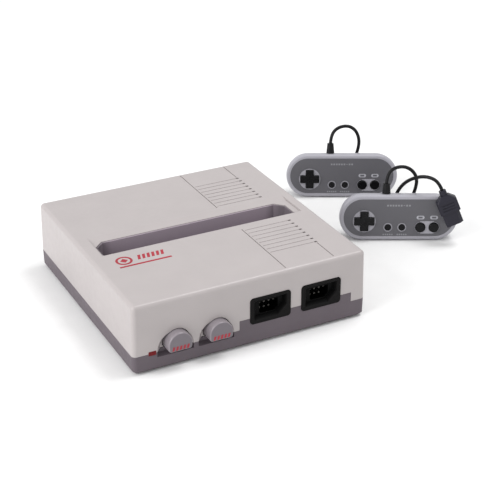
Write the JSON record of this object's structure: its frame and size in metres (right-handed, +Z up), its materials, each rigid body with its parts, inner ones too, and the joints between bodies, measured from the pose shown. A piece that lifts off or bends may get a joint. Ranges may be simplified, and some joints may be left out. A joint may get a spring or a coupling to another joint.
{
  "type": "game console with two controllers",
  "caption": "Square desktop game console with a cartridge slot in its top and two wired gamepads that stand beside it, their leads coiled and tied.",
  "frame": {"origin": "on the ground, in the middle of the area that console and controllers cover", "axes": "+X to the right across the console's front, +Y from its front to its back, +Z up"},
  "size_m": [0.3346, 0.2639, 0.0636],
  "materials": {
    "case_plastic": "fine even texture, light warm grey",
    "base_plastic": "fine even texture, mauve grey",
    "well_plastic": "satin mauve grey",
    "connector_plastic": "moulded black",
    "circuit_board": "green solder mask",
    "chip_epoxy": "black moulded epoxy",
    "capacitor_sleeve": "dark sleeve",
    "heatsink_metal": "bent sheet",
    "button_plastic": "satin mauve grey",
    "port_plastic": "moulded black",
    "contact_metal": "bright plated",
    "lamp_red": "clear red",
    "jack_metal": "bright plated",
    "screw_steel": "zinc plated",
    "foot_rubber": "soft black",
    "pad_shell": "satin bluish light grey",
    "pad_face": "satin dark grey",
    "key_plastic": "satin black",
    "key_rubber": "soft black",
    "mat_rubber": "soft grey silicone",
    "cord_rubber": "matt black",
    "tie_plastic": "black covered wire",
    "plug_plastic": "moulded blue black"
  },
  "bodies": {
    "console": {"top_case": "case_plastic", "base_case": "base_plastic", "cartridge_well": "well_plastic", "cartridge_connector": "connector_plastic", "main_board": "circuit_board", "board_chips": "chip_epoxy", "capacitors": "capacitor_sleeve", "voltage_regulator": "heatsink_metal", "power_switch": "chip_epoxy", "reset_switch": "chip_epoxy", "port_housings": "port_plastic", "port_pins": "contact_metal", "power_led": "lamp_red", "rca_jacks": "jack_metal", "dc_jack": "port_plastic", "case_screws": "screw_steel", "board_screws": "screw_steel", "rubber_feet": "foot_rubber"},
    "power_button_body": {"power_button": "button_plastic"},
    "reset_button_body": {"reset_button": "button_plastic"},
    "pad1": {"pad1_front_shell": "pad_shell", "pad1_back_shell": "pad_shell", "pad1_faceplate": "pad_face", "pad1_rubber_mat": "mat_rubber", "pad1_circuit_board": "circuit_board", "pad1_screws": "screw_steel", "pad1_strain_relief": "cord_rubber", "pad1_cord": "cord_rubber", "pad1_cord_coil": "cord_rubber", "pad1_cord_tie": "tie_plastic", "pad1_plug": "plug_plastic", "pad1_plug_nose": "plug_plastic"},
    "pad1_pivot": {"pad1_cross_pivot": "key_plastic"},
    "pad1_cross": {"pad1_direction_cross": "key_plastic"},
    "pad1_select": {"pad1_select_button": "key_rubber"},
    "pad1_start": {"pad1_start_button": "key_rubber"},
    "pad1_b": {"pad1_b_button": "key_plastic"},
    "pad1_a": {"pad1_a_button": "key_plastic"},
    "pad2": {"pad2_front_shell": "pad_shell", "pad2_back_shell": "pad_shell", "pad2_faceplate": "pad_face", "pad2_rubber_mat": "mat_rubber", "pad2_circuit_board": "circuit_board", "pad2_screws": "screw_steel", "pad2_strain_relief": "cord_rubber", "pad2_cord": "cord_rubber", "pad2_cord_coil": "cord_rubber", "pad2_cord_tie": "tie_plastic", "pad2_plug": "plug_plastic", "pad2_plug_nose": "plug_plastic"},
    "pad2_pivot": {"pad2_cross_pivot": "key_plastic"},
    "pad2_cross": {"pad2_direction_cross": "key_plastic"},
    "pad2_select": {"pad2_select_button": "key_rubber"},
    "pad2_start": {"pad2_start_button": "key_rubber"},
    "pad2_b": {"pad2_b_button": "key_plastic"},
    "pad2_a": {"pad2_a_button": "key_plastic"}
  },
  "joints": [
    {"name": "power_button_press", "type": "slide", "parent": "console", "child": "power_button_body", "axis": [0, 1, 0], "range_m": [0, 0.0025], "stiffness_N_per_m": 300},
    {"name": "reset_button_press", "type": "slide", "parent": "console", "child": "reset_button_body", "axis": [0, 1, 0], "range_m": [0, 0.0025], "stiffness_N_per_m": 300},
    {"name": "pad1_lift", "type": "slide", "parent": "console", "child": "pad1", "axis": [0, 0, 1], "range_m": [0, 0.15]},
    {"name": "pad1_cross_up_down", "type": "hinge", "parent": "pad1", "child": "pad1_pivot", "pos_m": [0.09378, 0.09881, 0.01656], "axis": [0.8887, -0.4585, 0], "range_deg": [-3, 3], "stiffness_Nm_per_rad": 0.05},
    {"name": "pad1_cross_left_right", "type": "hinge", "parent": "pad1_pivot", "child": "pad1_cross", "pos_m": [0.09378, 0.09881, 0.01656], "axis": [0.0796, 0.1543, 0.9848], "range_deg": [-3, 3], "stiffness_Nm_per_rad": 0.05},
    {"name": "pad1_select_press", "type": "slide", "parent": "pad1", "child": "pad1_select", "axis": [0.4515, 0.8752, -0.1736], "range_m": [0, 0.001], "stiffness_N_per_m": 120},
    {"name": "pad1_start_press", "type": "slide", "parent": "pad1", "child": "pad1_start", "axis": [0.4515, 0.8752, -0.1736], "range_m": [0, 0.001], "stiffness_N_per_m": 120},
    {"name": "pad1_b_press", "type": "slide", "parent": "pad1", "child": "pad1_b", "axis": [0.4515, 0.8752, -0.1736], "range_m": [0, 0.001], "stiffness_N_per_m": 120},
    {"name": "pad1_a_press", "type": "slide", "parent": "pad1", "child": "pad1_a", "axis": [0.4515, 0.8752, -0.1736], "range_m": [0, 0.001], "stiffness_N_per_m": 120},
    {"name": "pad2_lift", "type": "slide", "parent": "console", "child": "pad2", "axis": [0, 0, 1], "range_m": [0, 0.15]},
    {"name": "pad2_cross_up_down", "type": "hinge", "parent": "pad2", "child": "pad2_pivot", "pos_m": [0.09188, 0.00221, 0.01656], "axis": [0.8887, -0.4585, 0], "range_deg": [-3, 3], "stiffness_Nm_per_rad": 0.05},
    {"name": "pad2_cross_left_right", "type": "hinge", "parent": "pad2_pivot", "child": "pad2_cross", "pos_m": [0.09188, 0.00221, 0.01656], "axis": [0.0796, 0.1543, 0.9848], "range_deg": [-3, 3], "stiffness_Nm_per_rad": 0.05},
    {"name": "pad2_select_press", "type": "slide", "parent": "pad2", "child": "pad2_select", "axis": [0.4515, 0.8752, -0.1736], "range_m": [0, 0.001], "stiffness_N_per_m": 120},
    {"name": "pad2_start_press", "type": "slide", "parent": "pad2", "child": "pad2_start", "axis": [0.4515, 0.8752, -0.1736], "range_m": [0, 0.001], "stiffness_N_per_m": 120},
    {"name": "pad2_b_press", "type": "slide", "parent": "pad2", "child": "pad2_b", "axis": [0.4515, 0.8752, -0.1736], "range_m": [0, 0.001], "stiffness_N_per_m": 120},
    {"name": "pad2_a_press", "type": "slide", "parent": "pad2", "child": "pad2_a", "axis": [0.4515, 0.8752, -0.1736], "range_m": [0, 0.001], "stiffness_N_per_m": 120}
  ]
}
